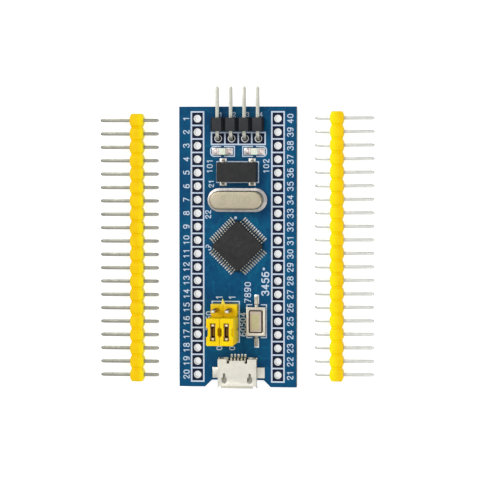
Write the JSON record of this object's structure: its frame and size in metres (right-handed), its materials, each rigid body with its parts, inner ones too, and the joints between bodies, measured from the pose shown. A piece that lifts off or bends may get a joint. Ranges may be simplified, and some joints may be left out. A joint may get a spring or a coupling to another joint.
{
  "type": "microcontroller development board",
  "caption": "Long blue circuit board with edge rows of header holes, a controller set at 45 degrees, USB socket, reset button, jumper caps, debug header and loose header strips.",
  "frame": {"origin": "centre of the two rows of header holes, on the underside of the laminate", "axes": "+Z out of the side that carries the controller, +Y along the board away from the USB socket, +X across the board to the right"},
  "size_m": [0.052, 0.0567, 0.0116],
  "materials": {
    "laminate": "matte",
    "solder_mask": "gloss",
    "ink": "matte",
    "tinned_copper": "satin",
    "solder": "gloss",
    "moulding_compound": "matte",
    "tinned_lead": "satin",
    "silicon": "gloss",
    "bare_copper": "satin",
    "crystal_metal": "satin",
    "seal_glass": "gloss",
    "spring_metal": "satin",
    "quartz": "gloss",
    "tube_metal": "satin",
    "led_ceramic": "matte",
    "led_resin": "gloss",
    "led_chip": "satin",
    "switch_plastic": "matte",
    "switch_cover_metal": "satin",
    "button_plastic": "satin",
    "yellow_plastic": "satin",
    "black_plastic": "satin",
    "pin_metal": "gloss",
    "socket_metal": "satin",
    "contact_gold": "gloss",
    "capacitor_ceramic": "matte",
    "resistor_ceramic": "matte",
    "resistor_glaze": "gloss"
  },
  "bodies": {
    "board": {"pcb_laminate": "laminate", "solder_mask_top": "solder_mask", "solder_mask_bottom": "solder_mask", "silkscreen_top": "ink", "silkscreen_bottom": "ink", "header_hole_plating": "tinned_copper", "part_hole_plating": "tinned_copper", "smd_pads_top": "tinned_copper", "smd_pads_bottom": "tinned_copper", "solder_joints": "solder", "mcu_package": "moulding_compound", "clock_crystal_package": "moulding_compound", "regulator_package": "moulding_compound", "mcu_leads": "tinned_lead", "clock_crystal_leads": "tinned_lead", "regulator_leads": "tinned_lead", "led_terminals": "tinned_lead", "capacitor_terminals": "tinned_lead", "resistor_terminals": "tinned_lead", "reset_switch_terminals": "tinned_lead", "crystal_leads": "tinned_lead", "mcu_die": "silicon", "mcu_die_paddle": "bare_copper", "crystal_can": "crystal_metal", "crystal_base": "crystal_metal", "crystal_glass_seals": "seal_glass", "crystal_spring_clips": "spring_metal", "reset_switch_dome": "spring_metal", "crystal_quartz_blank": "quartz", "clock_crystal_tube": "tube_metal", "led_substrates": "led_ceramic", "led_lenses": "led_resin", "led_chips": "led_chip", "reset_switch_base": "switch_plastic", "reset_switch_cover": "switch_cover_metal", "boot_header_housing": "yellow_plastic", "debug_header_housing": "black_plastic", "usb_insulator": "black_plastic", "boot_header_pins": "pin_metal", "debug_header_pins": "pin_metal", "usb_shell": "socket_metal", "usb_contacts": "contact_gold", "capacitor_bodies": "capacitor_ceramic", "resistor_substrates": "resistor_ceramic", "resistor_coats": "resistor_glaze"},
    "button": {"reset_button": "button_plastic"},
    "left_cap": {"left_jumper_cap": "yellow_plastic", "left_jumper_clip": "spring_metal"},
    "right_cap": {"right_jumper_cap": "yellow_plastic", "right_jumper_clip": "spring_metal"},
    "left_strip": {"left_strip_housing": "yellow_plastic", "left_strip_pins": "pin_metal"},
    "right_strip": {"right_strip_housing": "yellow_plastic", "right_strip_pins": "pin_metal"}
  },
  "joints": [
    {"name": "reset_button_press", "type": "slide", "parent": "board", "child": "button", "axis": [0, 0, -1], "range_m": [0, 0.00025], "stiffness_N_per_m": 2500, "springref_m": -0.0003, "deforming": ["reset_switch_dome"]},
    {"name": "left_cap_pull", "type": "slide", "parent": "board", "child": "left_cap", "axis": [0, 0, 1], "range_m": [0, 0.007]},
    {"name": "right_cap_pull", "type": "slide", "parent": "board", "child": "right_cap", "axis": [0, 0, 1], "range_m": [0, 0.007]},
    {"name": "left_strip_lift", "type": "slide", "parent": "board", "child": "left_strip", "axis": [0, 0, 1], "range_m": [0, 0.02]},
    {"name": "right_strip_lift", "type": "slide", "parent": "board", "child": "right_strip", "axis": [0, 0, 1], "range_m": [0, 0.02]}
  ]
}
